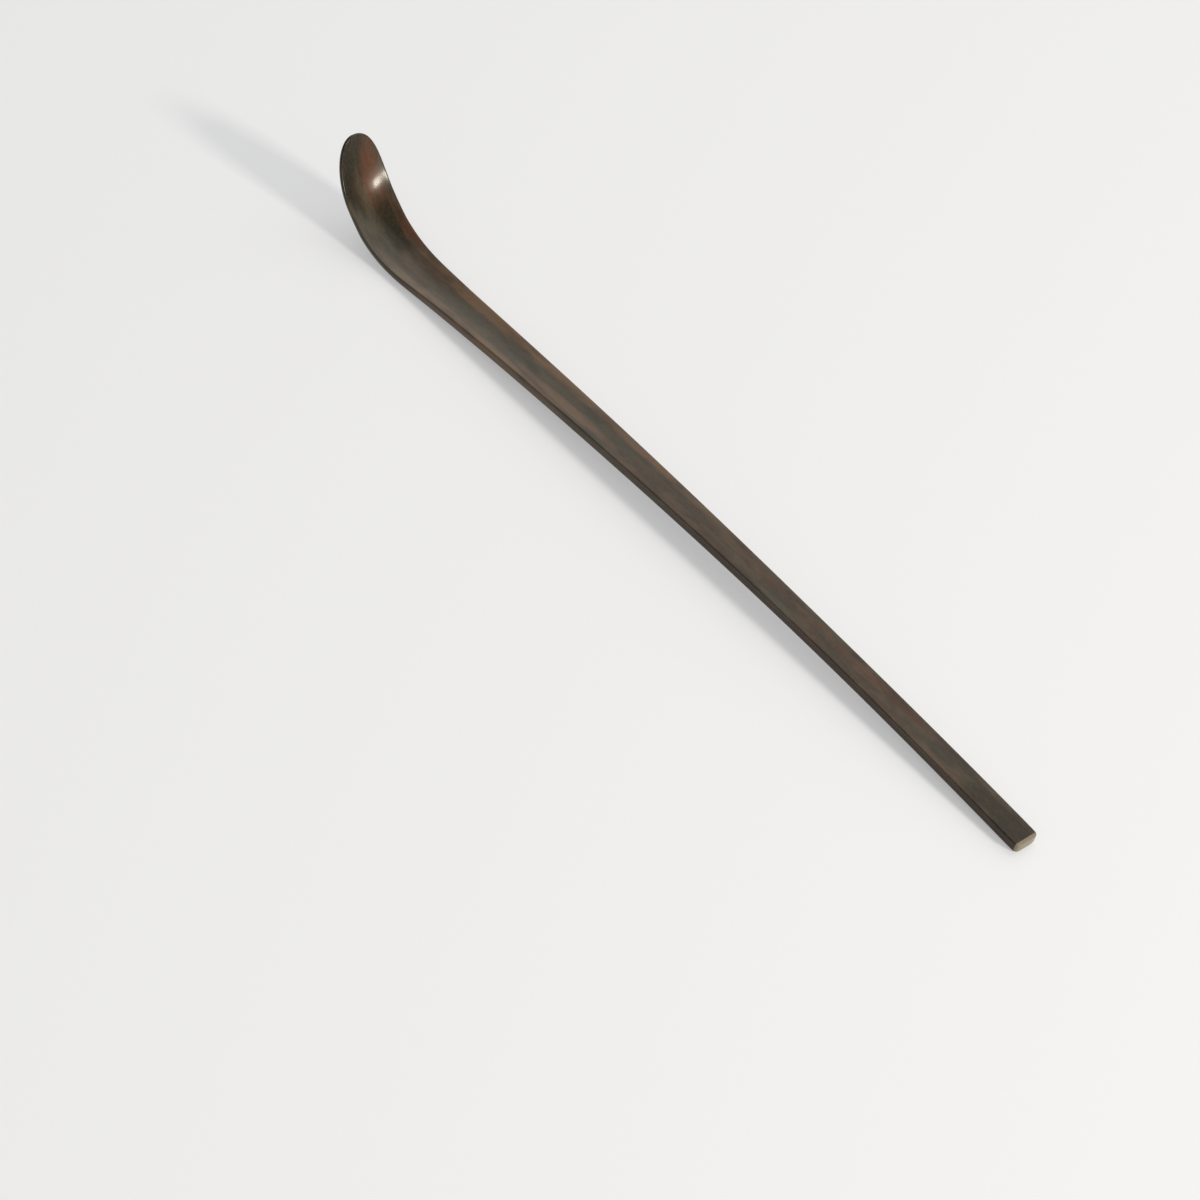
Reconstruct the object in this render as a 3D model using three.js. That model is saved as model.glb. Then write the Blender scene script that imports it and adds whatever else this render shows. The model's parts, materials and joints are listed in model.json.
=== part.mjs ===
import * as THREE from "three";

// Tea scoop carved from one stick of dark striped wood, bowl and handle in one piece.
// Millimetres and degrees. X runs along the stick from the tip of the bowl to the butt,
// Y lies across it and Z points up. The scoop lies with its bowl up, on the back of the
// bend and on the lower edge of the butt, and the origin is on the table under its middle.

// Length along the top face, from the tip to the butt
const stickLength = 185;

// Bowl: the rounded end, the bend that lifts it and the hollow in it
const bowlWidth = 10.1;
const noseLength = 16.8;
const noseSquareness = 3.4;
const tipFlat = 1.2;
const bendAngle = 73.5;
const bendStart = 0;
const bendEnd = 32;
const bowlHollow = 1.0;
const bowlHollowPlace = 14;
const bowlFloor = 0.85;
const bowlRim = 0.6;
const bowlBackShare = 0.62; // of the half width, rounded into the back on each side

// Neck: the trough that runs out of the bowl dies away in the slender part of the handle
const neckPlace = 41;
const neckWidth = 8.0;
const neckHollow = 0.5;
const neckSide = 1.2;
const neckDepth = 2.0;
const neckChamfer = 1.5;
const troughEnd = 118;

// Handle: a slender bar with softened edges, gently arched along its length
const waistPlace = 84;
const waistWidth = 6.1;
const gripFromButt = 51;
const gripWidth = 4.7;
const handleSide = 1.35;
const handleDepth = 2.1;
const handleChamfer = 0.7;
const archRise = 2.7;
const edgeRound = 0.3;

// Butt: cut square to the stick, with its corners rounded over
const buttWidth = 4.65;
const buttDepth = 2.0;
const buttCorner = 0.75;
const buttEase = 0.2;

// Limits that keep a rounding inside the wall that it is cut from, as shares of that wall
const mostSideOfDepth = 0.7;
const mostEdgeOfHalf = 0.4;
const mostEdgeOfSide = 0.5;
const mostChamferOfHalf = 0.65;

// Facets of the mesh
const noseSteps = 14;
const bendStep = 1.3;
const neckStep = 2.6;
const handleStep = 4.6;
const cornerSteps = 4;
const hollowSteps = 10;

// Fineness of the sums: steps walked along the centre line, and turns tried on the table
const walkStep = 0.05;
const layDownPasses = 4;

const toRadians = Math.PI / 180;

// Smooth curve through a few [place, value] pairs, level at both of its ends
function through(pairs, place) {
  const last = pairs.length - 1;
  if (place <= pairs[0][0]) return pairs[0][1];
  if (place >= pairs[last][0]) return pairs[last][1];
  const slope = (i) => {
    if (i === 0 || i === last) return 0;
    return (pairs[i + 1][1] - pairs[i - 1][1]) / (pairs[i + 1][0] - pairs[i - 1][0]);
  };
  let i = 0;
  while (place > pairs[i + 1][0]) i += 1;
  const span = pairs[i + 1][0] - pairs[i][0];
  const t = (place - pairs[i][0]) / span;
  const startValue = pairs[i][1] * (1 + 2 * t) * (1 - t) ** 2;
  const endValue = pairs[i + 1][1] * (3 - 2 * t) * t ** 2;
  const startSlope = slope(i) * span * t * (1 - t) ** 2;
  const endSlope = slope(i + 1) * span * t ** 2 * (t - 1);
  return startValue + endValue + startSlope + endSlope;
}

// Quarter round at the butt: 0 before it starts, 1 at the end face
function buttRound(place) {
  const into = Math.max(0, place - (stickLength - buttCorner)) / buttCorner;
  return 1 - Math.sqrt(Math.max(0, 1 - into ** 2));
}

// Width of the top face at a place along the stick
function widthAt(place) {
  if (place < noseLength) {
    const roundness = Math.sqrt(1 - (1 - place / noseLength) ** noseSquareness);
    return tipFlat + (bowlWidth - tipFlat) * roundness;
  }
  const taper = through(
    [
      [noseLength, bowlWidth],
      [neckPlace, neckWidth],
      [waistPlace, waistWidth],
      [stickLength - gripFromButt, gripWidth],
      [stickLength, buttWidth],
    ],
    place,
  );
  return taper - 2 * buttCorner * buttRound(place);
}

// Depth of the hollow in the top face, from its edges to its centre line
function hollowAt(place) {
  const hollows = [[0, 0], [bowlHollowPlace, bowlHollow], [neckPlace, neckHollow], [troughEnd, 0]];
  return through(hollows, place);
}

// Height of the straight side wall and depth of the whole section
function sideAt(place) {
  return through([[noseLength, bowlRim], [neckPlace, neckSide], [waistPlace, handleSide]], place);
}

function depthAt(place) {
  if (place < bowlHollowPlace) return bowlFloor + hollowAt(place);
  const depths = [
    [bowlHollowPlace, bowlFloor + bowlHollow],
    [neckPlace, neckDepth],
    [waistPlace, handleDepth],
    [stickLength - gripFromButt, handleDepth],
    [stickLength, buttDepth],
  ];
  return through(depths, place) - buttEase * buttRound(place);
}

// Outline of the stick cut across at a place: across it, and down from the edges of its top
// face. The hollow's control point lies twice as deep as the curve that it draws.
function sectionAt(place) {
  const half = widthAt(place) / 2;
  const depth = depthAt(place);
  const side = Math.min(sideAt(place), mostSideOfDepth * depth);
  const edge = Math.min(edgeRound, mostEdgeOfHalf * half, mostEdgeOfSide * side);
  const lift = buttEase * buttRound(place);
  const backs = [[noseLength, bowlBackShare * half], [neckPlace, neckChamfer], [waistPlace, handleChamfer]];
  const floor = half - Math.min(through(backs, place), mostChamferOfHalf * half);
  const outline = new THREE.Shape();
  outline.moveTo(-floor, -depth);
  outline.lineTo(floor, -depth);
  outline.quadraticCurveTo(half, -depth, half, -side);
  outline.lineTo(half, -edge - lift);
  outline.quadraticCurveTo(half, -lift, half - edge, -lift);
  outline.quadraticCurveTo(0, -lift - 2 * hollowAt(place), edge - half, -lift);
  outline.quadraticCurveTo(-half, -lift, -half, -edge - lift);
  outline.lineTo(-half, -side);
  outline.quadraticCurveTo(-half, -depth, -floor, -depth);
  return outline.curves.flatMap((curve) => {
    if (curve.type === "LineCurve") return [curve.getPoint(0)];
    const steps = curve === outline.curves[5] ? hollowSteps : cornerSteps;
    return curve.getPoints(steps).slice(0, -1);
  });
}

// How steeply the stick runs down at a place: the bend at the bowl, then the arch of the handle
function pitchAt(place) {
  const u = THREE.MathUtils.clamp((place - bendStart) / (bendEnd - bendStart), 0, 1);
  const bend = bendAngle * toRadians * (1 - u * u * (3 - 2 * u));
  const span = stickLength - bendEnd;
  const archEnd = 2 * Math.atan((2 * archRise) / span);
  const along = Math.max(0, place - bendEnd) / span;
  return bend + archEnd * (2 * along - 1);
}

// Places where the stick is cut into sections: close together round the nose and the bend
function places() {
  const list = [];
  for (let i = 0; i < noseSteps; i += 1) {
    const turn = ((i / noseSteps) * Math.PI) / 2;
    list.push(noseLength * (1 - Math.cos(turn) ** (2 / noseSquareness)));
  }
  const stretch = (from, to, step) => {
    const count = Math.max(1, Math.round((to - from) / step));
    for (let i = 0; i < count; i += 1) list.push(from + ((to - from) * i) / count);
  };
  const buttStart = stickLength - buttCorner;
  stretch(noseLength, bendEnd, bendStep);
  stretch(bendEnd, neckPlace, neckStep);
  stretch(neckPlace, buttStart, handleStep);
  for (let i = 0; i <= cornerSteps; i += 1) {
    list.push(buttStart + buttCorner * Math.sin(((i / cornerSteps) * Math.PI) / 2));
  }
  return list;
}

// Sections stood along the bent centre line, as rings of points in space
function rings() {
  const centre = new THREE.Vector3();
  let reached = 0;
  return places().map((place) => {
    const count = Math.ceil((place - reached) / walkStep);
    const step = count > 0 ? (place - reached) / count : 0;
    for (let i = 0; i < count; i += 1) {
      const pitch = pitchAt(reached + (i + 0.5) * step);
      centre.x += Math.cos(pitch) * step;
      centre.z -= Math.sin(pitch) * step;
    }
    reached = place;
    const pitch = pitchAt(place);
    return sectionAt(place).map((point) => {
      const x = centre.x + Math.sin(pitch) * point.y;
      const z = centre.z + Math.cos(pitch) * point.y;
      return new THREE.Vector3(x, point.x, z);
    });
  });
}

// Skin over the rings, with a fan of triangles closing each end
function loft(sections) {
  const size = sections[0].length;
  const corners = sections.flat();
  const faces = [];
  for (let ring = 0; ring < sections.length - 1; ring += 1) {
    for (let i = 0; i < size; i += 1) {
      const a = ring * size + i;
      const b = ring * size + ((i + 1) % size);
      faces.push(a, b, a + size, b, b + size, a + size);
    }
  }
  const close = (first, facesForward) => {
    const middle = new THREE.Vector3();
    for (let i = 0; i < size; i += 1) middle.addScaledVector(corners[first + i], 1 / size);
    corners.push(middle);
    for (let i = 0; i < size; i += 1) {
      const a = first + i;
      const b = first + ((i + 1) % size);
      if (facesForward) faces.push(a, b, corners.length - 1);
      else faces.push(b, a, corners.length - 1);
    }
  };
  close(0, false);
  close((sections.length - 1) * size, true);
  const geometry = new THREE.BufferGeometry().setFromPoints(corners);
  geometry.setIndex(faces);
  return geometry;
}

// Turn the stick about Y until its bend and its butt both touch the table, then centre it
function layDown(geometry) {
  const position = geometry.attributes.position;
  const lowest = (inBowlHalf) => {
    const middle = (geometry.boundingBox.min.x + geometry.boundingBox.max.x) / 2;
    let low = new THREE.Vector3(0, 0, Infinity);
    for (let i = 0; i < position.count; i += 1) {
      const point = new THREE.Vector3().fromBufferAttribute(position, i);
      if (point.x < middle === inBowlHalf && point.z < low.z) low = point;
    }
    return low;
  };
  for (let pass = 0; pass < layDownPasses; pass += 1) {
    geometry.computeBoundingBox();
    const bend = lowest(true);
    const butt = lowest(false);
    geometry.rotateY(Math.atan2(butt.z - bend.z, butt.x - bend.x));
  }
  geometry.computeBoundingBox();
  const { min, max } = geometry.boundingBox;
  geometry.translate(-(min.x + max.x) / 2, 0, -min.z);
  geometry.computeVertexNormals();
  return geometry;
}

function darkWood() {
  return new THREE.MeshStandardMaterial({ color: 0x4b4540, roughness: 0.45, metalness: 0 });
}

function teaScoop() {
  const mesh = new THREE.Mesh(layDown(loft(rings())), darkWood());
  mesh.name = "tea_scoop";
  return mesh;
}

const group = new THREE.Group();
group.add(teaScoop());

export default group;
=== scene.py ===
import json
import math

import bpy
from mathutils import Matrix, Vector


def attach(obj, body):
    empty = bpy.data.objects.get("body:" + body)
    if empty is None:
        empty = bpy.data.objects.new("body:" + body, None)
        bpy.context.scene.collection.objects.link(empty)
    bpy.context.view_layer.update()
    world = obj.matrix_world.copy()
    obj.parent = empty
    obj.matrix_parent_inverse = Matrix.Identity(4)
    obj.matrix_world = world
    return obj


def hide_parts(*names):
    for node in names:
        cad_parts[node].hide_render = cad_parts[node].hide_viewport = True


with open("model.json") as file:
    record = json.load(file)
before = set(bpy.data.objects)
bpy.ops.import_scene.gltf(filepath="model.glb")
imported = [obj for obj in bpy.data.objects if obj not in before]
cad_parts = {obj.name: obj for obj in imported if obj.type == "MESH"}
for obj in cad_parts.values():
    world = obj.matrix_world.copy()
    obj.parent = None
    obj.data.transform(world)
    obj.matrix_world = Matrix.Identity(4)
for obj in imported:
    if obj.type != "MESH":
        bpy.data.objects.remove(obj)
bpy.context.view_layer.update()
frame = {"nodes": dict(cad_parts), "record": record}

BOARD_SIZE = 6.0
BOARD_WHITE = (0.78, 0.80, 0.83, 1)
BOARD_GLOW = 0.35
GLOW_WHITE = (1, 1, 1, 1)


class Socket:
    """A shader socket that can be used in sums."""

    def __init__(self, tree, source):
        self.tree = tree
        self.source = source

    def node(self, kind, settings, inputs, output=0):
        """Add a node with its settings and its inputs, and give one of its outputs."""
        made = self.tree.nodes.new(kind)
        for name, value in settings.items():
            setattr(made, name, value)
        for name, value in inputs.items():
            if isinstance(value, Socket):
                self.tree.links.new(value.source, made.inputs[name])
            else:
                made.inputs[name].default_value = value
        return Socket(self.tree, made.outputs[output])

    def beside(self, output):
        """Another output of the node that this socket is on."""
        return Socket(self.tree, self.source.node.outputs[output])

    def maths(self, operation, *values):
        return self.node("ShaderNodeMath", {"operation": operation}, dict(enumerate(values)))

    def __add__(self, other):
        return self.maths("ADD", self, other)

    def __sub__(self, other):
        return self.maths("SUBTRACT", self, other)

    def __rsub__(self, other):
        return self.maths("SUBTRACT", other, self)

    def __mul__(self, other):
        return self.maths("MULTIPLY", self, other)

    __radd__ = __add__
    __rmul__ = __mul__


def new_material(name):
    """An empty material, and the socket that its finished shader goes to."""
    material = bpy.data.materials.new(name)
    material.use_nodes = True
    tree = material.node_tree
    tree.nodes.clear()
    return material, Socket(tree, tree.nodes.new("ShaderNodeOutputMaterial").inputs["Surface"])


def coat(piece, material, surface, shader):
    """Finish a material with its shader and give the piece that material alone."""
    surface.tree.links.new(shader.source, surface.source)
    piece.data.materials.clear()
    piece.data.materials.append(material)


def deselect_all():
    bpy.ops.object.select_all(action="DESELECT")


deselect_all()
bpy.ops.mesh.primitive_plane_add(size=BOARD_SIZE)
board = bpy.context.object
board.name = "board"

white, surface = new_material("white_board")
paint = surface.node("ShaderNodeBsdfDiffuse", {}, {"Color": BOARD_WHITE})
glow = surface.node("ShaderNodeEmission", {}, {"Color": GLOW_WHITE, "Strength": 1.0})
seen = surface.node("ShaderNodeLightPath", {}, {}, "Is Camera Ray")
seen = seen + seen.beside("Is Glossy Ray") + seen.beside("Is Transmission Ray")
mixed = surface.node("ShaderNodeMixShader", {}, {0: seen * BOARD_GLOW, 1: paint, 2: glow})
coat(board, white, surface, mixed)

# The scoop: one stick of dark striped persimmon wood, split, carved and steamed to its
# bend, so that its grain runs with the stick round the bend. It is scraped smooth and
# polished by hand until it has a satin shine, brightest in the bowl.
MERGE_WITHIN = 0.000002
QUAD_ANGLE = math.radians(60)
SURFACE_LEVELS = 2

deselect_all()
rough_scoop = frame["nodes"]["tea_scoop"]
rough_scoop.select_set(True)
bpy.context.view_layer.objects.active = rough_scoop
bpy.ops.object.duplicate()
scoop = bpy.context.object
scoop.name = "scoop_wood"
bpy.ops.object.mode_set(mode="EDIT")
bpy.ops.mesh.select_all(action="SELECT")
bpy.ops.mesh.remove_doubles(threshold=MERGE_WITHIN)
bpy.ops.mesh.tris_convert_to_quads(face_threshold=QUAD_ANGLE, shape_threshold=QUAD_ANGLE)
bpy.ops.object.mode_set(mode="OBJECT")
finer = scoop.modifiers.new("finer", "SUBSURF")
finer.levels = SURFACE_LEVELS
finer.render_levels = SURFACE_LEVELS
bpy.ops.object.modifier_apply(modifier=finer.name)
bpy.ops.object.shade_smooth()

# Heart of the wood: a line along the middle of the stick, in millimetres. It is walked from
# the face of the butt to the tip by the length of the top face, the bend and the arch.
STICK_LENGTH = 185.0
BEND_END = 32.0
BEND_TURN = math.radians(73.5)
ARCH_RISE = 2.7
BEND_PIECES = 14
HANDLE_PIECES = 8
WALK_STEPS = 10

# How deep the heart lies below the edges of the top face: place from the tip, and depth
HEART_DEPTHS = ((0, 0.1), (9, 1.05), (20, 1.4), (40, 1.25), (185, 1.0))

butt = next(mount for mount in frame["record"]["mounts"] if mount["name"] == "butt_end")
butt_middle = Vector((butt["pos_m"][0], butt["pos_m"][2])) * 1000
butt_pitch = math.atan2(-butt["axis"][2], butt["axis"][0])


def pitch(place):
    """How steeply the stick runs down at a place: the bend, then the arch of the handle."""
    bent = min(1, place / BEND_END)
    bend = BEND_TURN * (1 - bent * bent * (3 - 2 * bent))
    span = STICK_LENGTH - BEND_END
    arch = 2 * math.atan(2 * ARCH_RISE / span)
    return butt_pitch + bend - 2 * arch * min(1, (STICK_LENGTH - place) / span)


def heart_depth(place):
    for (near, shallow), (far, deep) in zip(HEART_DEPTHS, HEART_DEPTHS[1:]):
        if place <= far:
            return shallow + (deep - shallow) * (place - near) / (far - near)


def below_edge(place):
    """From the edges of the top face straight in to the heart."""
    slope = pitch(place)
    return Vector((-math.sin(slope), -math.cos(slope))) * heart_depth(place)


def heart_line():
    """Points along the heart, from the tip to the butt."""
    handle = STICK_LENGTH - BEND_END
    places = [STICK_LENGTH - handle * i / HANDLE_PIECES for i in range(HANDLE_PIECES)]
    places += [BEND_END * (1 - i / BEND_PIECES) for i in range(BEND_PIECES + 1)]
    edge = butt_middle - below_edge(STICK_LENGTH)
    points = [butt_middle]
    for far, near in zip(places, places[1:]):
        step = (far - near) / WALK_STEPS
        for i in range(WALK_STEPS):
            slope = pitch(far - (i + 0.5) * step)
            edge = edge + Vector((-math.cos(slope), math.sin(slope))) * step
        points.append(edge + below_edge(near))
    return points[::-1]


heart = heart_line()
heart_runs = [(first, second - first) for first, second in zip(heart, heart[1:])]
heart_length = sum(run.length for start, run in heart_runs)


def grain_place(point):
    """Millimetres along the bent stick from the tip, across it, and above its heart."""
    flat = Vector((point.x, point.z)) * 1000
    best = None
    reached = 0
    for start, run in heart_runs:
        share = min(1, max(0, (flat - start).dot(run) / run.length_squared))
        gap = flat - start - run * share
        if best is None or gap.length < best[0]:
            above = gap.dot(Vector((-run.y, run.x))) / run.length
            best = (gap.length, reached + run.length * share, above)
        reached += run.length
    return best[1], point.y * 1000, best[2]


grain = scoop.data.attributes.new("grain_place", "FLOAT_VECTOR", "POINT")
for corner, value in zip(scoop.data.vertices, grain.data):
    value.vector = grain_place(corner.co)

DARK_GROUND = (0.036, 0.026, 0.015, 1)
GREEN_GREY = (0.050, 0.045, 0.028, 1)
RED_BROWN = (0.098, 0.032, 0.012, 1)
PINK_TAN = (0.140, 0.086, 0.048, 1)
OLIVE = (0.013, 0.010, 0.002, 1)
BLACK_STREAK = (0.011, 0.008, 0.004, 1)
# Painted shade: dark red brown laid on the sides towards the butt, where they fall in shade
SIDE_SHADE_BROWN = (0.042, 0.016, 0.006, 1)
# Pale end grain: partly the wood's raw end grain, partly painted light on the lit end face
END_GRAIN_WITH_PAINTED_LIGHT = (0.22, 0.185, 0.135, 1)

# Figure of this stick: the place of each patch along and across, its half length and
# half width in millimetres, its colour, and how strong it is
FIGURE = (
    (58, 0.3, 40, 1.7, GREEN_GREY, 0.8),
    (24, -2.4, 9, 2.6, GREEN_GREY, 0.6),
    (9, 1.6, 8, 2.3, RED_BROWN, 0.85),
    (19.5, 1.8, 7.5, 2.4, OLIVE, 0.95),
    (20, 4.2, 7, 1.1, RED_BROWN, 0.5),
    (5, -2.6, 9, 2.6, OLIVE, 0.95),
    (53, 3.3, 28, 1.9, PINK_TAN, 1.0),
    (95, 2.2, 18, 1.0, PINK_TAN, 0.8),
    (48, -3.4, 24, 1.3, PINK_TAN, 0.8),
    (74, -1.4, 12, 1.0, PINK_TAN, 0.7),
    (120, 1.4, 14, 0.9, RED_BROWN, 0.3),
    (152, 0.8, 13, 1.1, RED_BROWN, 0.35),
    (181, -0.6, 10, 2.4, OLIVE, 0.85),
)

# How far clouds and streaks push the rim of a patch about, and where its rim fades
PATCH_CLOUDED = 2.2
PATCH_STREAKED = 1.2
PATCH_GONE = 1.5
PATCH_FULL = 0.1

# Heights above the heart at which the painted shade and painted light of the sides start and are
# full, in millimetres
SIDE_STARTS = 0.75
SIDE_FULL = 0.35

# Raw end grain, pale partly of itself and partly with painted light from the lamp that faces the
# butt: where it starts short of the end face, how soon it is full, and how raggedly it starts, in
# millimetres
END_GRAIN_SHORT = 0.66
END_GRAIN_FADE = 0.2
END_GRAIN_RAGGED = 0.05

# Polish: a thin satin coat over wood that shines a little, with fine relief under it
BASE_ROUGHNESS = 0.3
FIBRE_ROUGHNESS = 0.06
MOTTLE_ROUGHNESS = 0.05
WOOD_SHINE = 0.17
COAT_WEIGHT = 0.2
COAT_ROUGHNESS = 0.16
RELIEF_STRENGTH = 0.3
RELIEF_DEPTH = 0.00003
FIBRE_RELIEF = 0.5
PORE_RELIEF = -0.6
CARVING_RELIEF = 6

# Sockets of a colour mix, which share their names with its sockets for other kinds
MIX_MASK = 0
MIX_UNDER = 6
MIX_OVER = 7
MIX_RESULT = 2

wood, surface = new_material("polished_black_persimmon")
place = surface.node("ShaderNodeAttribute", {"attribute_name": "grain_place"}, {}, "Vector")
along = place.node("ShaderNodeSeparateXYZ", {}, {"Vector": place}, "X")
across = along.beside("Y")
above = along.beside("Z")


def noise(scale, offset, detail, roughness):
    """Pattern that changes so many times a millimetre along, across and above."""
    spot = place.node("ShaderNodeMapping", {}, {"Vector": place, "Scale": scale, "Location": offset})
    inputs = {"Vector": spot, "Scale": 1.0, "Detail": detail, "Roughness": roughness}
    return place.node("ShaderNodeTexNoise", {}, inputs, "Fac")


def ramp(value, low, high):
    """Smooth step from 0 where the value is low to 1 where it is high."""
    inputs = {"Value": value, "From Min": low, "From Max": high}
    return value.node("ShaderNodeMapRange", {"interpolation_type": "SMOOTHSTEP"}, inputs)


def blended(mask, under, over):
    """One colour laid over another where the mask is 1."""
    inputs = {MIX_MASK: mask, MIX_UNDER: under, MIX_OVER: over}
    return mask.node("ShaderNodeMix", {"data_type": "RGBA"}, inputs, MIX_RESULT)


bands = noise((0.05, 0.5, 0.5), (0.3, 0.1, 0), 3, 0.5)
streaks = noise((0.09, 0.9, 0.9), (4.1, 2.0, 1), 3, 0.55)
clouds = noise((0.17, 0.5, 0.5), (7.7, 5.2, 3), 3, 0.55)
shades = noise((0.11, 0.4, 0.4), (1.7, 9.2, 6), 2, 0.5)
fibres = noise((0.3, 9, 9), (2.2, 8.4, 5), 2, 0.6)
mottle = noise((1.6, 3.2, 3.2), (3.2, 6.4, 2), 3, 0.65)
pores = noise((0.9, 12, 12), (1.2, 3.4, 9), 1, 0.5)
carving = noise((0.07, 0.35, 0.35), (5.2, 1.4, 7), 2, 0.5)

# Ground colour of the stick, with its own faint streaks and clouds
colour = blended(ramp(bands, 0.4, 0.6), DARK_GROUND, GREEN_GREY)
colour = blended(ramp(streaks, 0.46, 0.66) * 0.32, colour, RED_BROWN)
colour = blended(ramp(clouds, 0.46, 0.66) * 0.27, colour, PINK_TAN)

# Patches of the figure, each an oval with a ragged rim
for middle, side, long, wide, tint, strength in FIGURE:
    reach = (along - middle) * (1 / long)
    spread = (across - side) * (1 / wide)
    ragged = (clouds - 0.5) * PATCH_CLOUDED + (streaks - 0.5) * PATCH_STREAKED
    distance = reach * reach + spread * spread + ragged
    colour = blended(ramp(distance, PATCH_GONE, PATCH_FULL) * strength, colour, tint)
colour = blended(ramp(shades, 0.5, 0.3) * 0.5, colour, BLACK_STREAK)

# Sides: painted shade, a dark red brown towards the butt, and painted light, tan beside the neck
on_side = ramp(above, SIDE_STARTS, SIDE_FULL)
colour = blended(on_side * ramp(along, 85, 125) * 0.85, colour, SIDE_SHADE_BROWN)
colour = blended(on_side * ramp(along, 100, 60) * ramp(along, 25, 45) * 0.6, colour, PINK_TAN)

# Raw end grain on the face of the butt, painted paler with painted light where the lamp lights the
# end face
end_starts = heart_length - END_GRAIN_SHORT
ragged_along = along + (mottle - 0.5) * END_GRAIN_RAGGED
colour = blended(ramp(ragged_along, end_starts, end_starts + END_GRAIN_FADE), colour, END_GRAIN_WITH_PAINTED_LIGHT)

# Mottle, fibres and open pores over everything
colour = blended(ramp(mottle, 0.42, 0.68) * 0.13, colour, PINK_TAN)
colour = blended(ramp(fibres, 0.5, 0.72) * 0.22, colour, BLACK_STREAK)
colour = blended(ramp(pores, 0.64, 0.72) * 0.45, colour, BLACK_STREAK)

relief = fibres * FIBRE_RELIEF + pores * PORE_RELIEF + carving * CARVING_RELIEF
relief_inputs = {"Height": relief, "Strength": RELIEF_STRENGTH, "Distance": RELIEF_DEPTH}
fibre_roughness = ramp(fibres, 0.3, 0.8) * FIBRE_ROUGHNESS
mottle_roughness = ramp(mottle, 0.3, 0.7) * MOTTLE_ROUGHNESS
wood_inputs = {
    "Base Color": colour,
    "Roughness": BASE_ROUGHNESS + fibre_roughness + mottle_roughness,
    "Normal": place.node("ShaderNodeBump", {}, relief_inputs),
    "Specular IOR Level": WOOD_SHINE,
    "Coat Weight": COAT_WEIGHT,
    "Coat Roughness": COAT_ROUGHNESS,
}
coat(scoop, wood, surface, place.node("ShaderNodeBsdfPrincipled", {}, wood_inputs))
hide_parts("tea_scoop")
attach(scoop, "root")

# Light: an even pale room, one large soft lamp high behind the scoop, which gives the
# neck and handle their sheen, and one small warm lamp low beyond the butt, whose glint
# sits in the polished bowl.
ROOM_WHITE = (1, 1, 1, 1)
ROOM_LIGHT = 0.42
BACK_LAMP = {"size": 2.0, "power": 14.0, "at": (-0.37, 1.13, 1.07), "colour": (1, 0.95, 0.9)}
GLINT_LAMP = {"size": 0.17, "power": 10.0, "at": (0.993, 0.24, 0.478), "colour": (1, 0.93, 0.8)}

world = bpy.data.worlds.new("pale_room")
bpy.context.scene.world = world
world.use_nodes = True
world.node_tree.nodes["Background"].inputs["Color"].default_value = ROOM_WHITE
world.node_tree.nodes["Background"].inputs["Strength"].default_value = ROOM_LIGHT


def lamp(name, values):
    """A square soft lamp that faces the middle of the table."""
    deselect_all()
    turn = Vector(values["at"]).to_track_quat("Z", "Y").to_euler()
    bpy.ops.object.light_add(type="AREA", location=values["at"], rotation=turn)
    made = bpy.context.object
    made.name = name
    made.data.size = values["size"]
    made.data.energy = values["power"]
    made.data.color = values["colour"]


lamp("back_lamp", BACK_LAMP)
lamp("glint_lamp", GLINT_LAMP)

# Camera: a long lens held above the butt end and off to one side, looking down the
# slender stick to the bowl, as a small thing on a table is looked at from a chair.
CAMERA_PLACE = Vector((0.246635, -0.265445, 0.347164))
CAMERA_RIGHT = Vector((0.62486, 0.77171, 0.11835))
CAMERA_AHEAD = Vector((-0.48383, 0.50173, -0.71706))
LENS = 89.69
SENSOR = 36.0

camera_up = CAMERA_RIGHT.cross(CAMERA_AHEAD)
axes = Matrix((CAMERA_RIGHT, camera_up, -CAMERA_AHEAD)).transposed()
deselect_all()
bpy.ops.object.camera_add(location=CAMERA_PLACE, rotation=axes.to_euler())
camera = bpy.context.object
camera.data.sensor_width = SENSOR
camera.data.lens = LENS
bpy.context.scene.camera = camera
bpy.context.scene.view_settings.view_transform = "Standard"
